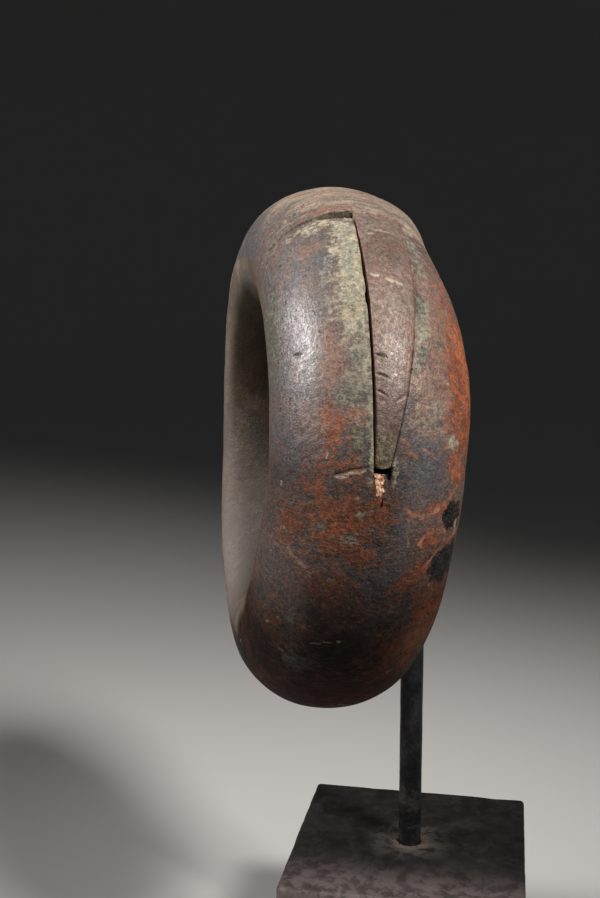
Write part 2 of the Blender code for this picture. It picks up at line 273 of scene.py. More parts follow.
def between(low, high, value):
    """A smooth rise from 0 at low to 1 at high. It works downwards too, where low is the greater one."""
    share = np.clip((value - low) / (high - low), 0, 1)
    return share * share * (3 - 2 * share)


def span(start, full, ebb, end, value):
    """1 from full to ebb, 0 before start and past end, and smooth in between."""
    return between(start, full, value) * between(end, ebb, value)


def hump(value, centre, spread):
    """1 at the centre, falling away smoothly on both sides."""
    return np.exp(-(((value - centre) / spread) ** 2))


def curve_between(before, low, high, after, part):
    """A place between low and high on the smooth curve that passes through four places in turn."""
    slope = (high - before) / 2
    bend = before - 2.5 * low + 2 * high - after / 2
    twist = 1.5 * (low - high) + (after - before) / 2
    return low + part * (slope + part * (bend + part * twist))


def share_at(shares, angle):
    """Read a row of shares, spread evenly round the ring, as one smooth closed curve."""
    values = np.asarray(shares)
    place = (np.asarray(angle) / 360) % 1 * len(values)
    start = np.floor(place).astype(int)
    return curve_between(*(values[(start + step) % len(values)] for step in (-1, 0, 1, 2)), place - start)


def bar_half_width(angle, sideways):
    """Half the bar's width at an angle, on its right where sideways is positive and else on its left."""
    away = ((angle - NECK_ANGLE + 180) % 360 - 180) / NECK_SPREAD
    right = BAR_WIDTH / 2 * share_at(RIGHT_SHARES, angle) - NECK_DEPTH * np.exp(-(away**2))
    return np.where(sideways > 0, right, BAR_WIDTH / 2 * share_at(LEFT_SHARES, angle))


def skin(angle, around):
    """Points of the ring's skin, measured from its centre, before its lean and turn.

    Around is 0 on the outside of the ring, a quarter turn at its right flank and a half turn in the hole.
    """
    outwards = np.cos(around)
    sideways = np.sin(around)
    outer = BAR_THICKNESS * OUTER_SHARE * share_at(OUTWARD_SHARES, angle)
    depth = np.where(outwards > 0, outer, BAR_THICKNESS * (1 - OUTER_SHARE))
    centre_line = RING_DIAMETER / 2 - BAR_THICKNESS * OUTER_SHARE
    radius = centre_line * share_at(RADIUS_SHARES, angle) + depth * outwards
    turned = np.radians(angle)
    across = bar_half_width(angle, sideways) * sideways
    return np.stack([across, -radius * np.cos(turned), radius * np.sin(turned)], axis=-1)


def skin_normals(angle, around, step=0.001):
    """Directions straight out of the skin."""
    turned = math.degrees(step)
    along = skin(angle + turned, around) - skin(angle - turned, around)
    across = skin(angle, around + step) - skin(angle, around - step)
    out = np.cross(across, along)
    return out / np.linalg.norm(out, axis=-1, keepdims=True)


def turn_to_world(points):
    """Give points the ring's lean and turn."""
    turn = Matrix.Rotation(RING_TURN, 3, "Z") @ Matrix.Rotation(RING_LEAN, 3, "Y")
    return points @ np.array(turn).T


def find_ring_centre():
    """The place of the ring's centre, found by laying the form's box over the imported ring's box."""
    angle, around = np.meshgrid(np.arange(0, 360, 0.5), np.radians(np.arange(0, 360, 1)), indexing="ij")
    points = turn_to_world(skin(angle, around)).reshape(-1, 3)
    low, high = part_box("manilla")
    return (np.array(low) + np.array(high) - points.min(axis=0) - points.max(axis=0)) / 2


def tongue_left(angle):
    """Where the tongue's left edge runs, in millimetres across: a little left of the middle."""
    share = np.clip((angle - TONGUE_TIP) / (TONGUE_ROOT - TONGUE_TIP), 0, 1)
    return -TIP_OFFSET + (TIP_OFFSET - ROOT_OFFSET) * share**3


def tongue_right(angle):
    """Where the tongue's right edge runs, in millimetres across."""
    share = np.clip((angle - TONGUE_TIP) / (TONGUE_FULL - TONGUE_TIP), 0, 1)
    return TIP_WIDTH - TIP_OFFSET + (TONGUE_WIDTH - TIP_WIDTH) * np.sin(math.pi / 2 * share)


def lumps(points, size, seed, octaves=2):
    """Noise between about -1 and 1 whose lumps are about size wide, for each of a list of points."""
    shift = Vector((seed * 7.31, seed * 3.17, seed * 5.77))
    return np.array([noise.fractal(Vector(p) / size + shift, 1, 2, octaves) for p in points])


def column_angles():
    """The angles of the grid's columns, close together where the joint has its fine forms."""
    angles = []
    for start, end, spacing in COLUMN_ZONES:
        count = round((end - start) * DEGREE_MM / spacing)
        angles += [start + (end - start) * i / count for i in range(count)]
    return np.array(angles)


def gap_lips(column):
    """How far the gap's left and right lips stand from its middle line, in millimetres."""
    places = [(angle * 0.45, row, 0) for row in LIP_NOISE_ROWS for angle in column[:, 0]]
    wander = np.array([noise.noise(Vector(place)) for place in places]).reshape(2, -1, 1)
    opened = span(3, 12, 44, 56, column)
    left = 0.2 + 0.14 * opened + 0.07 * wander[0]
    left += 0.55 * hump(column, 36.3, 1) + 0.12 * hump(column, 43, 2.5)
    right = 0.17 + 0.1 * opened + 0.06 * wander[1] + 0.1 * hump(column, 35.2, 1.4)
    return np.maximum(left, 0.1), np.maximum(right, 0.1)


class Grid:
    """The ring's points, in a column for each angle round the ring and a row for each place round the bar.

    Each array holds a value for every point, for every column or for every row.
    """

    def __init__(self):
        self.column = column_angles()[:, None]
        self.lay_rows()
        self.bend_columns()
        self.across = bar_half_width(self.angle, np.sin(self.around)) * np.sin(self.around) / MM
        self.along = self.angle * DEGREE_MM
        self.from_gap = self.across - self.gap_line
        self.side = np.clip(self.from_gap / (self.seam_line - self.gap_line), 0, 1)
        self.outside = between(-0.15, 0.15, np.cos(self.around))
        self.skin = skin(self.angle, self.around)
        for name, size, seed, octaves in LUMPS:
            values = lumps(self.skin.reshape(-1, 3), size, seed, octaves)
            setattr(self, name, values.reshape(self.angle.shape))

    def lay_rows(self):
        """Lay the rows close along the gap and the tongue's right line, and evenly away from the joint."""
        column = self.column
        below_tip = between(TONGUE_TIP, GROOVE_END, column)
        loose = 1 - span(-16, -3, 64, 78, column)
        gap = tongue_left(column) + 0.5 * below_tip
        seam = tongue_right(column) - 1.1 * below_tip
        seam = seam + (SEAM_RESTING_PLACE - seam) * loose
        left_lip, right_lip = gap_lips(column)
        gap_middle = len(GAP_ROWS) // 2
        gap_rows = []
        for i, (offset, depth) in enumerate(GAP_ROWS):
            lip = -left_lip if i < gap_middle else right_lip
            tight = offset + (lip if 1 < i < len(GAP_ROWS) - 2 and i != gap_middle else 0)
            gap_rows.append(gap + tight + ((i - gap_middle) * GAP_ROW_SPACING - tight) * loose)
        seam_middle = len(SEAM_ROWS) // 2
        seam_rows = []
        for i, (offset, depth) in enumerate(SEAM_ROWS):
            seam_rows.append(seam + offset + ((i - seam_middle) * SEAM_ROW_SPACING - offset) * loose)
        gap_around = self.around_at(np.hstack(gap_rows))
        seam_around = self.around_at(np.hstack(seam_rows))
        quarter = np.full_like(column, math.pi / 2)
        self.around = np.hstack([
            self.spaced(-quarter, gap_around[:, :1], LEFT_LOBE_ROWS, True),
            gap_around,
            self.spaced(gap_around[:, -1:], seam_around[:, :1], TONGUE_ROWS, False),
            seam_around,
            self.spaced(seam_around[:, -1:], quarter, RIGHT_LOBE_ROWS, False),
            self.spaced(quarter, 3 * quarter, HOLE_ROWS, True),
        ])
        first_seam_row = LEFT_LOBE_ROWS + len(GAP_ROWS) + TONGUE_ROWS
        gap_row = LEFT_LOBE_ROWS + gap_middle
        seam_row = first_seam_row + seam_middle
        rows = self.around.shape[1]
        self.gap_share, self.seam_depth, self.notch_share, self.tongue_share = np.zeros((4, rows))
        for first, values, table in (
            (LEFT_LOBE_ROWS, self.gap_share, GAP_ROWS),
            (first_seam_row, self.seam_depth, SEAM_ROWS),
        ):
            values[first : first + len(table)] = [depth for offset, depth in table]
        self.notch_share[: gap_row - 1] = self.gap_share[: gap_row - 1]
        self.notch_share[gap_row - 1 : seam_row + 1] = 1
        self.notch_share[seam_row + 1 : seam_row + 3] = 0.85, 0.1
        self.tongue_share[gap_row + 1 : seam_row] = 1
        self.left_row = np.arange(rows) < gap_row
        self.gap_line = gap
        self.seam_line = seam

    def around_at(self, across):
        """The places round the bar that lie given ways across it, in millimetres."""
        half = bar_half_width(self.column, across) / MM
        return np.arcsin(np.clip(across / half, -1, 1))

    @staticmethod
    def spaced(start, end, count, with_start):
        """Even steps from start towards end, for every column. End itself is left out."""
        steps = np.arange(count) / count if with_start else np.arange(1, count + 1) / (count + 1)
        return start + (end - start) * steps

    def bend_columns(self):
        """Bend the columns so that they follow the shoulder's line and the tongue's rounded tip."""
        gap_around = self.around_at(self.gap_line)
        self.shoulder_share = (gap_around - self.around) / (gap_around + math.pi / 2 * SHOULDER_REACH)
        on_left = np.where(self.around < gap_around, np.clip(self.shoulder_share, 0, 1.15), 0)
        shoulder = SHOULDER_RISE * on_left**2 * hump(self.column, SHOULDER_ANGLE, 9)
        sideways = np.sin(self.around)
        across = bar_half_width(self.column, sideways) / MM * sideways
        middle = (self.gap_line + self.seam_line) / 2
        side = np.clip((across - middle) / ((self.seam_line - self.gap_line) / 2), -1, 1)
        tip = -0.45 * (1 - side**2) * hump(self.column, TONGUE_TIP, 1.6) * (np.cos(self.around) > 0)
        self.angle = self.column + shoulder + tip


def patch_field(grid, name):
    """How much a layer's patches cover each point: their strength in the middle, half of it at the edge."""
    field = np.zeros_like(grid.angle)
    for angle, across, half_height, half_width, strength, *tilt in PATCHES[name]:
        loose = min(1, half_width / 3)
        up = grid.along - angle * DEGREE_MM + loose * grid.bend_up
        side = grid.across - across + loose * grid.bend_side
        turn = math.radians(sum(tilt))
        wide = (side * math.cos(turn) - up * math.sin(turn)) / half_width
        high = (up * math.cos(turn) + side * math.sin(turn)) / half_height
        field = np.maximum(field, strength / (1 + (wide**2 + high**2) ** PATCH_EDGE))
    return field * grid.outside


def stroke_height(grid, ends, width):
    """1 on a straight stroke on the outside of the ring, falling away smoothly beside it."""
    first = np.array((ends[0] * DEGREE_MM, ends[1]))
    run = np.array((ends[2] * DEGREE_MM, ends[3])) - first
    up = grid.along - first[0]
    side = grid.across - first[1]
    share = np.clip((up * run[0] + side * run[1]) / (run @ run), 0, 1)
    distance = np.hypot(up - share * run[0], side - share * run[1]) + FAR_AWAY * (1 - grid.outside)
    return hump(distance, 0, width)


def smooth_line(points, steps):
    """More points along a curve that passes smoothly through the given ones."""
    ends = np.array([points[0], *points, points[-1]])
    line = []
    for four in zip(ends, ends[1:], ends[2:], ends[3:]):
        line += [curve_between(*four, step / steps) for step in range(steps)]
    return line + [ends[-1]]


def joint_relief(grid):
    """The lapped joint, in millimetres outwards: gap, fine line, the tip's pocket and the shoulder."""
    column = grid.column
    in_joint = between(TONGUE_TIP - 0.12, TONGUE_TIP + 0.12, column)
    below_shoulder = between(SHOULDER_ANGLE + 0.5, SHOULDER_ANGLE + 0.1, column)
    height = -GAP_DEPTH * grid.gap_share * in_joint * below_shoulder
    height = height - grid.seam_depth * in_joint * between(67, 60, column)
    shifted = column + 1.3 * between(0.6, 1, grid.side)
    pocket = POCKET_DEPTH * between(1.7, 2.5, column) + 0.9 * between(1.2, 2.6, shifted)
    pocket = pocket + 0.55 * between(GROOVE_END, 0.8, column)
    pocket = pocket * between(GROOVE_END - 0.4, GROOVE_END + 0.6, column)
    floor = 0.22 * grid.lumps_tiny * span(GROOVE_END, -1, 0.5, 1.4, column)
    height -= (pocket + floor) * grid.notch_share * (1 - in_joint)
    crown = 0.16 * (1 - (2 * grid.side - 1) ** 2) * span(8, 30, 50, 62, column)
    sunk = 0.3 * between(20, 7, column) + 0.35 * between(TONGUE_TIP + 2.5, TONGUE_TIP, column) ** 2
    worn_tip = (0.1 * grid.lumps_tiny + 0.09 * grid.lumps_fine) * between(13, 6, column)
    height += (crown - sunk + worn_tip) * grid.tongue_share * in_joint
    strip = span(0.1, 0.5, 1.7, 3.2, grid.across - grid.seam_line)
    height -= 0.42 * strip * span(28, 35, 60, 64, column) * grid.outside
    height -= 0.7 * hump(column, 63.8, 0.8) * hump(grid.across, 12.6, 1.3) * grid.outside
    share = np.clip(grid.shoulder_share, 0, 1)
    fade = between(1.15, 0.85, grid.shoulder_share) * grid.left_row
    groove, openness = shoulder_groove(grid)
    depth = SHOULDER_END_DEPTH + (SHOULDER_DEPTH - SHOULDER_END_DEPTH) * openness
    from_shoulder = column - SHOULDER_ANGLE
    worn_end = 0.45 * span(-4, -0.8, -0.9, 0, from_shoulder)
    lip = 0.3 * hump(from_shoulder, 1.2, 1.8) * between(-0.1, 0.2, from_shoulder)
    height += (lip * (1 - 0.6 * share) - worn_end * (1 - 0.8 * share)) * fade - depth * groove
    for angle, drop in SHOULDER_CREASES:
        line = angle + 2.5 * share**2 + 0.8 * grid.bend_up
        height -= drop * hump(column, line, 0.8) * fade * between(0.1, 0.5, grid.shoulder_share)
    return height


def shoulder_groove(grid, further=0):
    """Where the recess under the left shoulder lies, from 0 to 1, and how far it stands open there.

    Further moves its upper edge, in degrees.
    """
    share = grid.shoulder_share
    openness = (1 - np.clip(share / 0.36, 0, 1)) ** 1.15 * between(-0.02, 0.01, share)
    bottom = SHOULDER_ANGLE - 0.35 - 1.55 * openness
    top = SHOULDER_ANGLE + further
    groove = span(bottom - 0.35, bottom + 0.15, top - 0.1, top + 0.1, grid.column)
    return groove * grid.left_row * between(1.1, 0.75, share), openness


def crescent_line(grid, start, length, drop):
    """How far round the ring a crescent runs at each point, and how strong it still is there."""
    reach = grid.from_gap
    line = start + 0.25 * between(0, 0.8, reach) - drop * np.clip(reach / length, 0, 1.3) ** 2.5
    return line, span(0.35, 0.8, length * 0.75, length * 1.1, reach) * grid.tongue_share


def mark_relief(grid):
    """The marks in the surface, in millimetres outwards: crescents, scratches, creases, chips and pits."""
    column = grid.column
    height = -0.16 * hump(column, 54.4 + 0.08 * grid.across, 0.28) * between(0.5, 1.5, grid.across)
    height = (height + 0.1 * span(54.4, 55.2, 58, 62, column)) * grid.tongue_share
    for crescent in CRESCENTS:
        line, strength = crescent_line(grid, *crescent)
        height += (0.1 * hump(column, line - 0.5, 0.35) - 0.28 * hump(column, line, 0.2)) * strength
    for *ends, width, depth in SCRATCHES:
        height -= depth * stroke_height(grid, ends, width)
    for *ends, width, strength in CREAM_AND_GLINT_STROKES[:RAISED_STROKES]:
        height += 0.07 * stroke_height(grid, ends, width)
    return height - 0.16 * between(0.4, 0.75, patch_field(grid, "black"))


def hammered_relief(grid):
    """The soft unevenness of hammered and worn metal, in millimetres, mostly inwards."""
    rough = 0.35 + 0.65 * between(0.2, 0.6, patch_field(grid, "orange"))
    crusty = span(-40, -8, 2, 14, grid.angle)
    height = 0.26 * grid.lumps_wide + 0.09 * grid.lumps_middle
    height += (0.05 + 0.06 * crusty) * grid.lumps_fine * rough
    height -= 0.13 * between(0.3, 0.55, grid.lumps_pits)
    for angle, around, swell, reach, reach_around in SWELLS:
        height += swell * hump(grid.angle, angle, reach) * hump(np.degrees(grid.around), around, reach_around)
    return height - 0.2


def joint_fields(grid):
    """The layers of patina, painted shade and painted edge light that belong to the lapped joint, and how far
    each point belongs to the tongue.
    """
    column = grid.column
    in_joint = between(TONGUE_TIP - 0.2, TONGUE_TIP + 0.2, column)
    tongue = grid.tongue_share * in_joint * between(66, 58, column)
    groove, openness = shoulder_groove(grid, 0.35)
    # Cavity darkens the gap, the seam, the shoulder's recess and the pocket under the tip almost to black:
    # dirt in the hollows and painted shade.
    cavity = np.maximum.reduce([
        np.clip(grid.gap_share * 6, 0, 1) * in_joint * between(62.6, 61.8, column),
        between(0.12, 0.5, grid.seam_depth) * in_joint * between(64, 57, column),
        groove * (0.46 + 0.12 * between(0.1, 0.5, openness)),
        grid.notch_share * (1 - in_joint) * between(1.7, 2.3, column + 1.5 * between(0.6, 1, grid.side)),
    ])
    olive = np.maximum(tongue * between(13, 5, column), 0.9 * groove * (1 - hump(grid.across, -0.8, 0.7)))
    for crescent in CRESCENTS:
        line, strength = crescent_line(grid, *crescent)
        # A painted shadow under each crescent's overhanging edge; the olive below it is dirt.
        cavity = np.maximum(cavity, 0.75 * hump(column, line + 0.08, 0.2) * strength)
        olive = np.maximum(olive, 0.65 * hump(column, line - 0.7, 0.6) * strength)
    fresh = (1 - in_joint) * between(GROOVE_END - 0.3, GROOVE_END + 0.5, column - 0.4 * grid.lumps_tiny)
    taper = 0.64 + 0.12 * grid.lumps_tiny
    fresh = fresh * between(-0.05, 0.05, grid.from_gap) * between(taper + 0.05, taper - 0.05, grid.side)
    # The tongue's edges by the seam and the gap are painted a lighter copper red: worn edges and a painted
    # highlight where they catch the light.
    seam_edge = between(1.2, 0.4, np.abs(grid.across - grid.seam_line)) * between(14, 24, column)
    gap_edge = 0.7 * between(0.7, 0.2, np.abs(grid.from_gap))
    worn_edge_and_highlight = tongue * np.maximum(seam_edge, gap_edge)
    return {"cavity": cavity, "olive": olive, "fresh": fresh, "worn_edge_and_highlight": worn_edge_and_highlight}, tongue


def weathered_fields(grid):
    """The strength of each layer of patina, painted shade and painted light at each point, as the ring's
    surface reads them.
    """
    column = grid.column
    hidden = 1 - span(-75, -50, 86, 104, column) * grid.outside
    inner = 1 - grid.outside
    wide = grid.lumps_patch
    middle = grid.lumps_patch_small
    leftwards = -np.sin(grid.around)
    inwards = -np.cos(grid.around)
    # The far left rim, the low left rim and lit, a pool low on the hole's inner wall, mark painted light
    # further down.
    left_rim = between(0.8, 0.97, leftwards) * span(70, 90, 180, 230, column)
    low_rim = between(0.75, 0.95, leftwards) * hump(column, -105, 24)
    lit = hump((column + 305) % 360 - 180, 0, 36)
    fields, tongue = joint_fields(grid)
    fields.update({name: patch_field(grid, name) for name in PATCHES})
    for name in ("orange", "red", "slate", "powder", "mauve"):
        fields[name] *= 1 - tongue
    fields["mauve"] = np.maximum(tongue, fields["mauve"])
    fields["orange"] += hidden * (0.28 + 0.45 * wide) * (1 - left_rim)
    fields["red"] += hidden * (0.5 + 0.6 * middle)
    fields["powder"] += hidden * np.clip(0.9 * middle - 0.1, 0, 0.5)
    fields["slate"] += hidden * (0.45 - 0.6 * wide)
    fields["black"] += hidden * np.clip(-1.3 * wide - 0.25, 0, 0.7) * grid.outside
    # Painted light: the upper left flank at the back and the low left rim are painted paler, and in the hole
    # pale follows the lit pool.
    fields["pale"] += hidden * hump(column, 100, 25) * 0.8 * grid.outside + 0.4 * low_rim
    fields["pale"] = fields["pale"] * grid.outside + inner * (0.16 + 0.84 * lit + 0.3 * left_rim)
    # Low rises towards the bottom of the ring, where the colours turn much darker: partly dark patina, partly
    # painted shade where the light falls away.
    low = np.maximum(between(2, -36, column), 0.52 * between(15, -1, column) * between(10, 2, grid.across))
    low = low * (1 - 0.55 * hump(column, -24, 13) * between(9, 15, -grid.across))
    low = low * (1 - 0.25 * hump(column, -38, 12) * between(4, 12, grid.across))
    low = np.where(column < -75, 0.4 + 0.6 * between(-130, -75, column), low)
    # The low left rim is kept lighter here too, as part of the same painted light.
    fields["low"] = (low + 0.4 * between(150, 230, column)) * (1 - 0.6 * low_rim)
    fields["wavy"] = np.maximum(between(5, -12, column), between(150, 225, column))
    # Painted shade inside the hole: darkest on its upper wall and where the inside faces straight inwards.
    unlit = span(86, 108, 142, 212, column) * between(0.22, 0.5, inwards)
    fields["soot"] = inner * np.maximum(unlit, 0.7 * between(0.25, 0.85, inwards))
    # Dust inside the hole, lightened by the pale field where lit is high: dust and painted light together.
    fields["dust"] = inner * (0.86 + 0.3 * wide + 0.3 * lit)
    full = np.ones_like(grid.angle)
    fields = {name: np.clip(field * full, 0, 1.1) for name, field in fields.items()}
    fields["inward"] = -16 * inwards
    return fields


def add_object(name, data):
    """Put a new object into the scene."""
    thing = bpy.data.objects.new(name, data)
    bpy.context.scene.collection.objects.link(thing)
    return thing


def add_mesh(name, points, faces):
    """Put a new mesh into the scene."""
    mesh = bpy.data.meshes.new(name)
    mesh.from_pydata(points, [], faces)
    return add_object(name, mesh)


def add_values(mesh, name, *parts):
    """Give every point of a mesh a number of its own, or a vector where there are three parts."""
    kind, key = ("FLOAT", "value") if len(parts) == 1 else ("FLOAT_VECTOR", "vector")
    values = np.stack(parts, axis=-1).astype(np.float32)
    mesh.attributes.new(name, kind, "POINT").data.foreach_set(key, values.ravel())


def build_ring():
    """The whole ring as one closed mesh, with the fields that its surface reads."""
    grid = Grid()
    height = joint_relief(grid) + mark_relief(grid) + hammered_relief(grid)
    points = grid.skin + skin_normals(grid.angle, grid.around) * height[..., None] * MM
    points = turn_to_world(points) + find_ring_centre()
    columns, rows = grid.angle.shape
    corner = np.arange(columns * rows).reshape(columns, rows)
    beside = np.roll(corner, -1, axis=0)
    quads = np.stack([corner, np.roll(corner, -1, axis=1), np.roll(beside, -1, axis=1), beside], axis=-1)
    ring = add_mesh("ring", points.reshape(-1, 3), quads.reshape(-1, 4))
    for name, field in weathered_fields(grid).items():
        add_values(ring.data, name, field)
    on_front = span(-70, -55, 80, 95, grid.column) * grid.outside
    add_values(ring.data, "place", grid.along, grid.across, on_front)
    turned = np.radians(grid.angle)
    radius = RING_DIAMETER / 2 / MM
    bar = radius * np.cos(turned), radius * np.sin(turned), 20 * np.sin(grid.around)
    add_values(ring.data, "round_bar", *bar)
    ring.data.shade_smooth()
    return ring


class Surface:
    """Builds one material out of nodes. A value can be a socket, a number or a colour."""

    def __init__(self, name):
        self.material = bpy.data.materials.new(name)
        self.material.use_nodes = True
        self.tree = self.material.node_tree
        self.shader = self.tree.nodes["Principled BSDF"]
        self.place = self.add("TexCoord").outputs["Object"]
        self.colour = (0, 0, 0)

    def put(self, socket, value):
        """Link a socket to another one, or set its own value."""
        if isinstance(value, bpy.types.NodeSocket):
            self.tree.links.new(value, socket)
        elif isinstance(value, tuple) and len(value) == 3 and len(socket.default_value) == 4:
            socket.default_value = (*value, 1)
        else:
            socket.default_value = value

    def add(self, kind, inputs=(), **settings):
        """Add a node with its settings, and its inputs by name or number."""
        node = self.tree.nodes.new("ShaderNode" + kind)
        for name, value in settings.items():
            setattr(node, name, value)
        for name, value in dict(inputs).items():
            self.put(node.inputs[name], value)
        return node

    def math(self, operation, first, second=0, third=0):
        return self.add("Math", {0: first, 1: second, 2: third}, operation=operation).outputs[0]

    def times(self, first, second, plus=None):
        """The product of two numbers, with a third one added where there is one."""
        if plus is None:
            return self.math("MULTIPLY", first, second)
        return self.math("MULTIPLY_ADD", first, second, plus)

    def most(self, first, second):
        """The greater of two numbers."""
        return self.math("MAXIMUM", first, second)

    def rest(self, share):
        """What a share leaves of 1."""
        return self.math("SUBTRACT", 1, share)

    def fold(self, value):
        """0 where a number is 0.5, rising to 1 where it is 0 or 1."""
        return self.math("ABSOLUTE", self.times(value, 2, -1))

    def vector(self, operation, first, second=(0, 0, 0), output="Vector"):
        return self.add("VectorMath", {0: first, 1: second}, operation=operation).outputs[output]

    def scaled(self, first, share):
        """A vector or a colour times a number."""
        return self.add("VectorMath", {0: first, 3: share}, operation="SCALE").outputs[0]

    def part(self, vector, axis):
        """One of a vector's three numbers."""
        return self.add("SeparateXYZ", {0: vector}).outputs[axis]

    def rise(self, value, low, high, bottom=0, top=1):
        """A smooth rise of a value from bottom at low to top at high."""
        inputs = {"Value": value, "From Min": low, "From Max": high, "To Min": bottom, "To Max": top}
        return self.add("MapRange", inputs, interpolation_type="SMOOTHSTEP").outputs["Result"]

    def mix(self, share, first, second):
        """A colour between two."""
        return self.add("Mix", {0: share, 6: first, 7: second}, data_type="RGBA").outputs[2]

    def blend(self, share, first, second):
        """A number between two."""
        return self.add("Mix", {0: share, 2: first, 3: second}).outputs[0]

    def lumps(self, size, detail=2, roughness=0.5, distortion=0, place=None, seed=0, inward=None):
        """Noise spread evenly from 0 to 1, with lumps of a size in the same unit as place."""
        if place is None:
            place = self.place
        if seed:
            place = self.vector("ADD", place, (seed, seed * 0.7, -seed * 0.4))
        inputs = {"Vector": place, "Scale": 1 / size, "Detail": detail, "Roughness": roughness}
        inputs["Distortion"] = distortion
        if inward is None:
            noisy = self.add("TexNoise", inputs)
        else:
            noisy = self.add("TexNoise", {**inputs, "W": inward}, noise_dimensions="4D")
        return self.rise(noisy.outputs["Fac"], 0.33, 0.67)

    def swirl(self, size):
        """A colour that wanders round 0.5 in each channel, in lumps of a size."""
        inputs = {"Vector": self.place, "Scale": 1 / size, "Detail": 2}
        return self.add("TexNoise", inputs).outputs["Color"]

    def field(self, name, output="Fac"):
        """The values that the mesh holds under a name."""
        return self.add("Attribute", attribute_name=name).outputs[output]

    def cover(self, name, grain, softness):
        """Where a layer lies: its field says how much of the surface it covers, and grain where it starts."""
        reach = 1 + 2 * softness
        return self.rise(self.times(self.field(name), reach, grain), 1, reach)

    def film(self, name, grain, crisp=0.5):
        """Where a layer with a soft edge and a crisp, grainy heart lies."""
        return self.blend(crisp, self.cover(name, grain, 0.8), self.cover(name, grain, 0.2))

    def coat(self, share, strength, over):
        """Lay a colour over the one that the surface has so far."""
        self.colour = self.mix(self.times(share, strength), self.colour, over)

    def complete(self, rough, metal, height, depth):
        """Link everything to the shader: its relief is a height from 0 to 1 times a depth in metres."""
        relief = self.add("Bump", {"Height": height, "Distance": depth, "Strength": 1})
        values = {"Base Color": self.colour, "Roughness": rough, "Metallic": metal}
        values["Normal"] = relief.outputs["Normal"]
        for name, value in values.items():
            self.put(self.shader.inputs[name], value)
        return self.material


def drawn_lines(s, place, on_front, lines, breaks):
    """How strongly thin strokes show on the ring's outside, and breaks is what wears them away."""
    drawn = 0
    for *ends, width, strength in lines:
        first = Vector((ends[0] * DEGREE_MM, ends[1], 0))
        run = Vector((ends[2] * DEGREE_MM, ends[3], 0)) - first
        apart = s.vector("SUBTRACT", place, tuple(first))
        along = s.vector("DOT_PRODUCT", apart, tuple(run / run.length_squared), "Value")
        share = s.add("Clamp", {"Value": along}).outputs[0]
        distance = s.vector("DISTANCE", apart, s.scaled(tuple(run), share), "Value")
        mask = s.rise(distance, width * 0.3, width * 1.5, 1, 0)
        drawn = s.most(drawn, s.times(mask, strength))
    return s.times(s.times(drawn, on_front), breaks)


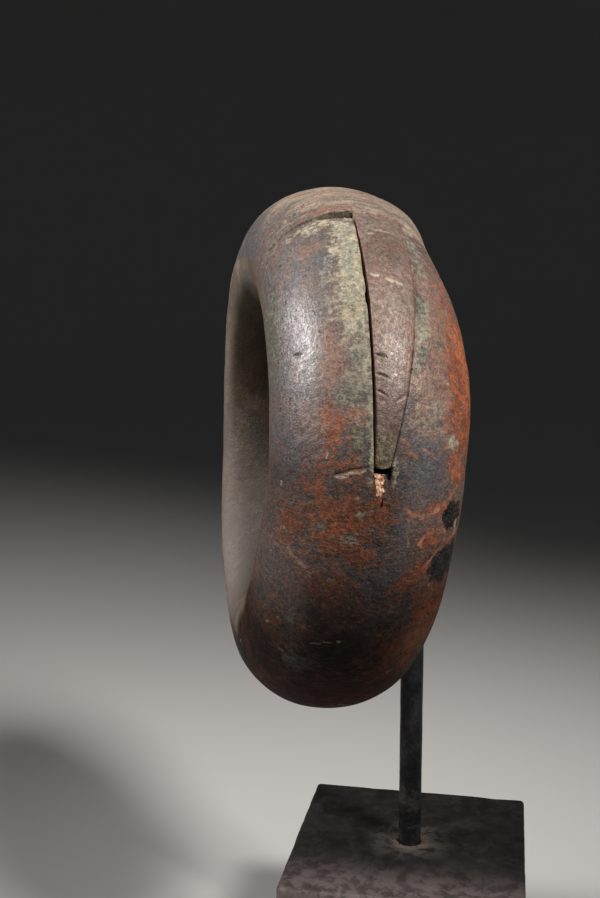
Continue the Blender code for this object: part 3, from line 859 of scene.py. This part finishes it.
def copper_surface():
    """Old copper: dark oxide, red and orange where it is worn, and pale powdery corrosion, with painted shade
    towards the bottom, in the hole and in the joint's hollows, and painted highlights, glints and pools of
    light.
    """
    s = Surface("patinated_copper")
    round_bar = s.field("round_bar", "Vector")
    inward = s.field("inward")
    pin = s.lumps(0.0004, 2, 0.6)
    fine = s.lumps(0.001, 4, 0.65, 0.2, seed=8)
    coarse = s.lumps(0.003, 6, 0.68, 0.3, seed=3)
    wide = s.lumps(0.012, 5, 0.65, 0.3, seed=5)
    hue = s.lumps(0.0045, 5, 0.7, 0.4, seed=11)
    grainy = s.rise(s.blend(0.4, coarse, fine), 0.12, 0.88)

    def drawn_out(size, detail, roughness, distortion, stretch, depth):
        """Noise in lumps that are drawn out along the bar or across it."""
        place = s.vector("MULTIPLY", round_bar, stretch)
        return s.lumps(size, detail, roughness, distortion, place=place, inward=s.times(inward, depth))

    along_streaks = drawn_out(0.5, 3, 0.6, 0.2, (0.16, 0.16, 1), 1)
    cross_streaks = drawn_out(0.7, 3, 0.6, 1.2, (1, 1, 0.3), 0.3)
    bands = drawn_out(2.2, 4, 0.6, 0.6, (1, 1, 0.2), 0.2)
    lines = drawn_out(3.8, 4, 0.5, 0.8, (1, 1, 0.75), 1)
    net = s.rise(s.times(s.rest(s.fold(lines)), 0.5, s.times(grainy, 0.5)), 0.12, 0.88)
    # Low turns every colour much darker towards the bottom: partly dark patina, partly painted shade.
    low = s.field("low")

    s.colour = s.mix(wide, (0.165, 0.118, 0.104), (0.128, 0.106, 0.102))
    s.colour = s.mix(low, s.colour, s.mix(wide, (0.017, 0.0052, 0.0028), (0.0125, 0.005, 0.0034)))
    dry = s.mix(bands, (0.228, 0.177, 0.142), (0.47, 0.374, 0.29))
    s.coat(s.cover("pale", grainy, 0.5), 0.9, s.mix(s.rise(hue, 0.6, 1.1), dry, (0.34, 0.205, 0.16)))
    s.coat(s.film("red", grainy, 0.2), 0.9, s.mix(low, (0.25, 0.145, 0.112), (0.038, 0.009, 0.0044)))
    s.coat(s.film("slate", grainy), 0.9, s.mix(low, (0.112, 0.109, 0.12), (0.02, 0.014, 0.012)))
    orange = s.film("orange", s.blend(0.35, net, grainy), 0.6)
    orange = s.times(orange, s.rise(fine, -0.3, 0.4))
    rust = s.mix(s.rise(s.blend(0.5, coarse, hue), 0.25, 0.75), (0.415, 0.118, 0.042), (0.19, 0.053, 0.024))
    low_rust = s.mix(s.rise(coarse, 0.2, 0.8), (0.102, 0.023, 0.008), (0.038, 0.011, 0.005))
    low_rust = s.mix(s.rise(wide, 0.5, 0.9), low_rust, (0.088, 0.04, 0.013))
    s.coat(orange, 0.92, s.mix(low, rust, low_rust))
    mauve = s.cover("mauve", coarse, 0.25)
    s.coat(mauve, 0.92, s.mix(fine, (0.165, 0.115, 0.098), (0.24, 0.182, 0.158)))
    s.coat(s.cover("shade", grainy, 0.5), 0.8, s.mix(fine, (0.1, 0.064, 0.052), (0.15, 0.104, 0.086)))
    dirt = s.mix(s.blend(0.6, along_streaks, fine), (0.06, 0.05, 0.028), (0.25, 0.215, 0.132))
    s.coat(s.cover("olive", grainy, 0.25), 0.8, dirt)
    tint = s.mix(s.rise(hue, 0.2, 0.8), (0.06, 0.068, 0.06), (0.2, 0.085, 0.055))
    low_tint = s.mix(s.rise(hue, 0.2, 0.8), (0.01, 0.008, 0.005), (0.058, 0.018, 0.009))
    s.coat(s.fold(hue), s.blend(low, 0.28, 0.65), s.mix(low, tint, low_tint))
    green = s.mix(s.rise(hue, 0.25, 0.75), (0.326, 0.274, 0.184), (0.24, 0.236, 0.18))
    green = s.mix(s.rise(fine, 0.25, -0.35), green, (0.13, 0.122, 0.09))
    powder = s.film("powder", grainy, 0.15)
    s.coat(powder, 0.9, s.mix(s.rise(fine, 0.6, 1.2), green, (0.4, 0.35, 0.26)))
    mossy = s.mix(fine, (0.092, 0.09, 0.072), (0.185, 0.176, 0.138))
    s.coat(s.film("moss", grainy), 0.9, s.mix(low, mossy, (0.044, 0.038, 0.03)))
    black = s.cover("black", s.times(coarse, 0.5, 0.25), 0.08)
    s.coat(black, 0.95, s.mix(s.rise(coarse, 0.3, 1), (0.006, 0.007, 0.008), (0.018, 0.021, 0.021)))
    # Dust inside the hole, mixed towards light grey by the pale field: there the paleness is a painted pool
    # of light.
    dust = s.cover("dust", s.blend(0.6, coarse, wide), 0.5)
    brown = s.mix(s.rise(wide, 0.25, 0.75), (0.052, 0.031, 0.017), (0.142, 0.09, 0.05))
    s.coat(dust, 0.9, s.mix(s.field("pale"), brown, (0.262, 0.23, 0.21)))
    # Painted shade inside the hole, near black.
    s.coat(s.field("soot"), 0.93, (0.02, 0.0125, 0.0075))
    # Worn edges with a painted highlight along the tongue.
    s.coat(s.field("worn_edge_and_highlight"), 0.65, s.mix(fine, (0.2, 0.085, 0.062), (0.34, 0.165, 0.125)))

    # Polished metal painted light grey, with a near-white painted highlight core where the field passes 1.
    polish_and_highlight = s.field("polish_and_highlight")
    heart = s.rise(polish_and_highlight, 0.97, 1.09)
    s.coat(polish_and_highlight, 0.55, (0.28, 0.268, 0.27))
    s.coat(heart, 0.7, (0.52, 0.5, 0.5))
    streaks = s.blend(s.field("wavy"), s.times(along_streaks, 0.4, 0.3), cross_streaks)
    streaks = s.blend(polish_and_highlight, streaks, along_streaks)
    tone = s.times(pin, 0.36, s.times(fine, 0.36))
    tone = s.times(streaks, 0.28, tone)
    varied = s.rise(tone, 0.1, 0.9, 0.72, 1.28)
    calm = s.times(s.most(s.times(mauve, 0.5), dust), 0.6)
    s.colour = s.scaled(s.colour, s.blend(calm, varied, 1))
    pits = s.times(s.rise(s.lumps(0.0008, 3, 0.5, 0.5, seed=17), 0.045, 0), s.rise(hue, 0.3, 0.8))
    pits = s.times(pits, s.blend(s.most(mauve, dust), 1, 0.35))
    s.coat(pits, 0.55, (0.016, 0.012, 0.01))
    specks = s.rise(s.lumps(0.0005, 1, 0.5, seed=13), 0.93, 1)
    specks = s.times(specks, s.rest(s.most(low, s.field("dust"))))
    s.coat(specks, 0.3, (0.36, 0.29, 0.22))
    crust = s.times(s.rise(cross_streaks, 0.72, 1), s.rise(hue, 0.35, 0.9))
    s.coat(s.times(crust, s.field("wavy")), 0.5, s.mix(low, (0.26, 0.2, 0.15), (0.1, 0.074, 0.054)))

    place = s.field("place", "Vector")
    on_front = s.part(place, "Z")
    wander = s.times(coarse, 0.5, -0.25)
    tremble = s.times(fine, 0.24, -0.12)
    nudge = s.add("CombineXYZ", {0: s.math("ADD", wander, tremble)}).outputs[0]
    flat_place = s.vector("ADD", s.vector("MULTIPLY", place, (1, 1, 0)), nudge)
    swirl = s.vector("ADD", s.swirl(0.0022), (-0.5, -0.5, -0.5))
    loose_place = s.vector("ADD", flat_place, s.scaled(swirl, 2.4))
    veins = []
    for width, strength, points in VEINS:
        line = smooth_line(points, 2)
        veins += [(*start, *end, width, strength) for start, end in zip(line, line[1:])]
    vein = drawn_lines(s, loose_place, on_front, veins, s.rise(grainy, -0.2, 0.5))
    s.colour = s.mix(vein, s.colour, s.mix(coarse, (0.28, 0.095, 0.05), (0.44, 0.215, 0.145)))
    # Cream lines and flecks, and some painted glints.
    cream_and_glints = drawn_lines(s, flat_place, on_front, CREAM_AND_GLINT_STROKES, s.rise(fine, 0, 0.35))
    s.colour = s.mix(cream_and_glints, s.colour, (0.42, 0.34, 0.25))
    # Dark strokes: painted shadows along the crescents and the scratch, and dark marks.
    dark = drawn_lines(s, flat_place, on_front, DARK_AND_SHADOW_STROKES, s.rise(fine, 0, 0.2))
    s.colour = s.mix(dark, s.colour, (0.02, 0.014, 0.01))
    fresh = s.cover("fresh", fine, 0.1)
    bright = s.mix(s.rise(pin, 0.35, 0.8), (0.42, 0.2, 0.12), (0.86, 0.6, 0.42))
    s.colour = s.mix(fresh, s.colour, s.mix(s.rise(fine, 0.25, 0.45), (0.16, 0.06, 0.035), bright))
    # Near black in the joint's hollows: dirt and painted shade.
    s.colour = s.mix(s.rise(s.field("cavity"), 0.2, 0.75), s.colour, (0.012, 0.009, 0.007))
    s.put(s.shader.inputs["Specular IOR Level"], 0.13)

    dry = s.most(powder, s.times(orange, 0.6))
    rough = s.blend(tone, 0.62, 0.46)
    for share, value in (
        (polish_and_highlight, s.blend(tone, 0.5, 0.35)),
        (heart, 0.27),
        (dry, 0.78),
        (black, 0.42),
        (s.times(low, 0.7), 0.8),
    ):
        rough = s.blend(share, rough, value)
    metal = s.blend(polish_and_highlight, 0.32, 0.52)
    metal = s.times(metal, s.rest(dry))
    height = s.times(fine, 0.35, s.times(pin, 0.32))
    for part, share in ((streaks, 0.3), (powder, 0.12), (pits, -0.4), (s.times(coarse, low), 1.4)):
        height = s.times(part, share, height)
    height = s.times(height, s.blend(polish_and_highlight, s.blend(low, 1, 1.8), 0.7))
    return s.complete(rough, metal, height, 0.00012)


def band_faces(rings, count):
    """Squares between each ring of points and the next one."""
    faces = []
    for ring in range(rings - 1):
        for i in range(count):
            following = (i + 1) % count
            low, high = ring * count, (ring + 1) * count
            faces.append((low + i, low + following, high + following, high + i))
    return faces


def lathe(name, outlines):
    """A closed mesh skinned over rings of points, with a fan of triangles over each end."""
    count = len(outlines[0])
    points = [point for outline in outlines for point in outline]
    faces = band_faces(len(outlines), count)
    for ring, flip in ((0, True), (len(outlines) - 1, False)):
        points.append(sum(outlines[ring], Vector()) / count)
        for i in range(count):
            face = (ring * count + i, ring * count + (i + 1) % count, len(points) - 1)
            faces.append(face[::-1] if flip else face)
    return add_mesh(name, points, faces)


def weather(thing, depth_at):
    """Push every point inwards by a depth that depends on its place, and smooth all but the sharp edges."""
    mesh = thing.data
    normals = [Vector(n.vector) for n in mesh.vertex_normals]
    for vertex, normal in zip(mesh.vertices, normals):
        vertex.co -= normal * depth_at(vertex.co)
    mesh.update()
    mesh.shade_smooth()
    mesh.set_sharp_from_angle(angle=SHARP_ANGLE)


def quarter_turn(steps):
    """The cosine and the sine of even steps through a quarter of a turn, both ends included."""
    return [(math.cos(math.pi / 2 * i / steps), math.sin(math.pi / 2 * i / steps)) for i in range(steps + 1)]


def build_rod(centre):
    """The bent rod, a little uneven and with a rounded end."""
    low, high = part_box("stand_rod")
    radius = high.x
    height = high.z - radius
    along = Vector((centre[0], centre[1], 0))
    reach = along.length + ARM_PAST_MIDDLE - ROD_BEND
    along.normalize()
    up = Vector((0, 0, 1))
    sideways = up.cross(along)
    rise = height - ROD_BEND - low.z
    path = [(up * (low.z + rise * i / UPRIGHT_RINGS), up) for i in range(UPRIGHT_RINGS)]
    for cosine, sine in quarter_turn(BEND_RINGS):
        place = up * (height - ROD_BEND + ROD_BEND * sine) + along * ROD_BEND * (1 - cosine)
        path.append((place, up * cosine + along * sine))
    for i in range(1, ARM_RINGS):
        path.append((up * height + along * (ROD_BEND + reach * i / ARM_RINGS), along))
    outlines = []
    for i, (place, ahead) in enumerate(path):
        outlines.append(rod_outline(place, ahead, sideways, radius if i else radius - ROD_ROUNDING))
    end = up * height + along * (ROD_BEND + reach)
    for cosine, sine in quarter_turn(4):
        place = end - along * ROD_ROUNDING * (1 - sine)
        outlines.append(rod_outline(place, along, sideways, radius - ROD_ROUNDING * (1 - cosine)))
    rod = lathe("bent_rod", outlines)

    def unevenness(place):
        dents = noise.fractal(place / 0.006, 1, 2, 2) + 0.6 * noise.noise(place / 0.0017)
        return 0.00006 + 0.00004 * dents

    weather(rod, unevenness)
    return rod


def rod_outline(place, ahead, sideways, radius):
    """A ring of points round the rod."""
    other = ahead.cross(sideways)
    turns = [math.tau * i / ROD_SIDES for i in range(ROD_SIDES)]
    return [place + (sideways * math.cos(turn) + other * math.sin(turn)) * radius for turn in turns]


def steel_surface():
    """Dark blued steel with a thin brown film and a few rubbed places."""
    s = Surface("dark_steel")
    grain = s.lumps(0.0008, 4, 0.6)
    blotch = s.lumps(0.006, 5, 0.65, 0.4, seed=2)
    s.colour = s.mix(blotch, (0.012, 0.013, 0.016), (0.021, 0.02, 0.023))
    rubbed = s.times(s.rise(blotch, 0.5, 1), s.rise(s.part(s.place, "Z"), 0.095, 0.045))
    s.coat(rubbed, 0.6, (0.056, 0.053, 0.05))
    s.coat(s.rise(grain, 0.7, 1), 0.25, (0.08, 0.068, 0.056))
    metal = s.blend(blotch, 0.75, 0.45)
    return s.complete(s.blend(grain, 0.42, 0.6), metal, s.times(blotch, 0.6, grain), 0.00006)


def square_outline(half, rounding, height):
    """Points round a square with rounded corners, starting at the middle of its right side."""
    points = []
    flat = half - rounding
    for side in range(4):
        turn = Matrix.Rotation(math.pi / 2 * side, 3, "Z")
        for i in range(SIDE_POINTS):
            points.append(turn @ Vector((half, flat * (2 * i / SIDE_POINTS - 1), 0)))
        for cosine, sine in quarter_turn(CORNER_POINTS)[:-1]:
            points.append(turn @ Vector((flat + rounding * cosine, flat + rounding * sine, 0)))
    return [Vector((p.x, p.y, height)) for p in points]


def build_block():
    """The square block, with soft worn edges and the blind socket round the rod."""
    low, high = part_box("stand_base")
    half = high.x
    top = high.z
    edge = BLOCK_EDGE
    round_points = [p.normalized() for p in square_outline(half, edge, 0)]
    outlines = []

    def add_round(radius, height):
        outlines.append([Vector((p.x * radius, p.y * radius, height)) for p in round_points])

    def add_square(inset, height):
        outlines.append(square_outline(half - inset, max(edge - inset, edge * 0.25), height))

    add_round(SOCKET_RADIUS / 2, SOCKET_FLOOR)
    for i in range(SOCKET_RINGS + 1):
        add_round(SOCKET_RADIUS, SOCKET_FLOOR + (top - SOCKET_TOP - SOCKET_FLOOR) * i / SOCKET_RINGS)
    for flare, depth in MOUTH_RINGS:
        add_round(MOUTH_RADIUS + flare, top - depth)
    mouth = outlines[-1]
    flat = square_outline(half - edge, edge * 0.25, top)
    for i in range(1, TOP_RINGS):
        outlines.append([p.lerp(q, i / TOP_RINGS) for p, q in zip(mouth, flat)])
    for cosine, sine in quarter_turn(4):
        add_square(edge * (1 - sine), top - edge * (1 - cosine))
    for i in range(1, SIDE_RINGS):
        add_square(0, top - edge + (2 * edge - top) * i / SIDE_RINGS)
    for cosine, sine in quarter_turn(4):
        add_square(edge * (1 - cosine), edge * (1 - sine))
    for i in range(1, BOTTOM_RINGS):
        outlines.append([p * (1 - i / BOTTOM_RINGS) for p in square_outline(half - edge, edge * 0.25, 0)])
    block = lathe("square_block", outlines)
    block.data.flip_normals()

    def wear(place):
        across = sorted((abs(place.x) / half, abs(place.y) / half, abs(place.z - top / 2) / (top / 2)))
        near_edge = max(0, min(1, (across[1] - 0.93) / 0.07))
        at_bottom = max(0, min(1, place.z / 0.002))
        dents = max(0, noise.fractal(place / 0.007, 1, 2, 3))
        swell = 0.5 + 0.5 * noise.noise(place / 0.02)
        return (0.00005 * swell + 0.00035 * dents * near_edge + 0.00005 * dents) * at_bottom

    weather(block, wear)
    return block


def block_surface():
    """Dark brown painted metal, paler round the rod's foot and lighter towards its front, with worn paint and
    a painted pool of light.
    """
    s = Surface("dark_block")
    grain = s.lumps(0.0007, 4, 0.65)
    blotch = s.lumps(0.011, 5, 0.6, 0.5, seed=4)
    fine = s.lumps(0.003, 4, 0.6, 0.3, seed=6)
    s.colour = s.mix(blotch, (0.008, 0.006, 0.006), (0.0125, 0.01, 0.011))
    s.coat(s.rise(fine, 0.5, 1), 0.35, (0.034, 0.028, 0.026))
    # Lighter towards the front: worn paint and a painted pool of light that falls off towards the back.
    worn = s.times(s.rise(s.part(s.place, "Y"), -0.01, -0.028), s.rise(fine, 0, 0.8, 0.4, 1))
    s.coat(worn, 0.8, (0.17, 0.135, 0.13))
    # Paler rings round the rod's foot.
    from_rod = s.vector("LENGTH", s.vector("MULTIPLY", s.place, (1, 1, 0)), output="Value")
    s.coat(s.times(s.rise(from_rod, 0.013, 0.004), s.rise(fine, 0, 0.7)), 0.55, (0.105, 0.09, 0.078))
    s.coat(s.times(s.rise(from_rod, 0.0062, 0.0036), s.rise(grain, 0, 0.5)), 0.75, (0.155, 0.11, 0.082))
    return s.complete(s.blend(blotch, 0.5, 0.66), 0.15, s.times(fine, 0.6, grain), 0.00007)


def build_stage():
    """A pale floor that curves up into a round wall well behind the object."""
    profile = [(0.4, 0), (0.9, 0)]
    for cosine, sine in quarter_turn(12):
        profile.append((FLOOR_RADIUS + COVE_RADIUS * sine, COVE_RADIUS * (1 - cosine)))
    profile.append((FLOOR_RADIUS + COVE_RADIUS, WALL_HEIGHT))
    turns = [math.tau * i / STAGE_SIDES for i in range(STAGE_SIDES)]
    points = []
    for radius, height in profile:
        points += [(radius * math.cos(turn), radius * math.sin(turn), height) for turn in turns]
    faces = [face[::-1] for face in band_faces(len(profile), STAGE_SIDES)]
    faces.append(tuple(range(STAGE_SIDES)))
    stage = add_mesh("studio_floor", points, faces)
    stage.data.shade_smooth()
    s = Surface("pale_floor")
    s.put(s.shader.inputs["Base Color"], (0.6, 0.595, 0.585))
    s.put(s.shader.inputs["Roughness"], 0.9)
    stage.data.materials.append(s.material)


def add_light(name, target, azimuth, elevation, distance, size, power, spread, colour):
    """A soft light that looks at a point. Azimuth 0 is the viewer's side, and angles are in degrees."""
    data = bpy.data.lights.new(name, "AREA")
    data.shape = "RECTANGLE"
    data.size, data.size_y = size
    data.energy = power
    data.spread = math.radians(spread)
    data.color = colour
    turn, lift = math.radians(azimuth), math.radians(elevation)
    way = Vector((math.sin(turn) * math.cos(lift), -math.cos(turn) * math.cos(lift), math.sin(lift)))
    lamp = add_object(name, data)
    lamp.location = target + way * distance
    lamp.rotation_euler = way.to_track_quat("Z", "Y").to_euler()
    lamp.visible_camera = False


def add_lights(centre):
    """A main light from the left, one from the right and a soft one from above, aimed at the upper half."""
    target = Vector(centre) + Vector((0, 0, 0.07))
    add_light("main_light", target, -70, 27, 0.75, (0.22, 0.3), 0.52, 44, (1, 0.98, 0.95))
    add_light("side_light", target, 53, 41, 0.75, (0.2, 0.2), 0.58, 44, (1, 0.96, 0.92))
    add_light("top_light", target, -5, 72, 0.8, (0.4, 0.4), 0.06, 60, (1, 0.98, 0.96))
    world = bpy.data.worlds.new("studio")
    bpy.context.scene.world = world
    world.use_nodes = True
    background = world.node_tree.nodes["Background"]
    background.inputs["Color"].default_value = (0.95, 0.97, 1, 1)
    background.inputs["Strength"].default_value = 0.045


def add_camera(centre):
    """The photograph's own view."""
    forward = Vector((-math.sin(VIEW_TURN), math.cos(VIEW_TURN), 0))
    right = Vector((math.cos(VIEW_TURN), math.sin(VIEW_TURN), 0))
    data = bpy.data.cameras.new("camera")
    data.lens = LENS_MM
    data.sensor_width = SENSOR_MM
    camera = add_object("camera", data)
    camera.location = Vector(centre) - forward * CAMERA_BACK - right * CAMERA_LEFT + Vector((0, 0, CAMERA_UP))
    camera.rotation_euler = (math.pi / 2 - VIEW_PITCH, 0, VIEW_TURN)
    bpy.context.scene.camera = camera


def dress(piece, node, material):
    """Give a piece its surface and put it in its node's place."""
    piece.data.materials.append(material)
    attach(piece, "root")
    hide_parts(node)


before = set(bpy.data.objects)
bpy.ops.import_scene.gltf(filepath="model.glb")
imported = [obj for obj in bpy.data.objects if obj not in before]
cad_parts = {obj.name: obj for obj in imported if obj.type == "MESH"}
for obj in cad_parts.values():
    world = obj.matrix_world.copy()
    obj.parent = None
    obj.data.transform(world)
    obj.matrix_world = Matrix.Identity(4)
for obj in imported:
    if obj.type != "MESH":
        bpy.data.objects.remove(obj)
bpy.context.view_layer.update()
ring_centre = find_ring_centre()
add_camera(ring_centre)
dress(build_ring(), "manilla", copper_surface())
dress(build_rod(ring_centre), "stand_rod", steel_surface())
dress(build_block(), "stand_base", block_surface())
build_stage()
add_lights(ring_centre)
bpy.context.scene.view_settings.view_transform = "Standard"
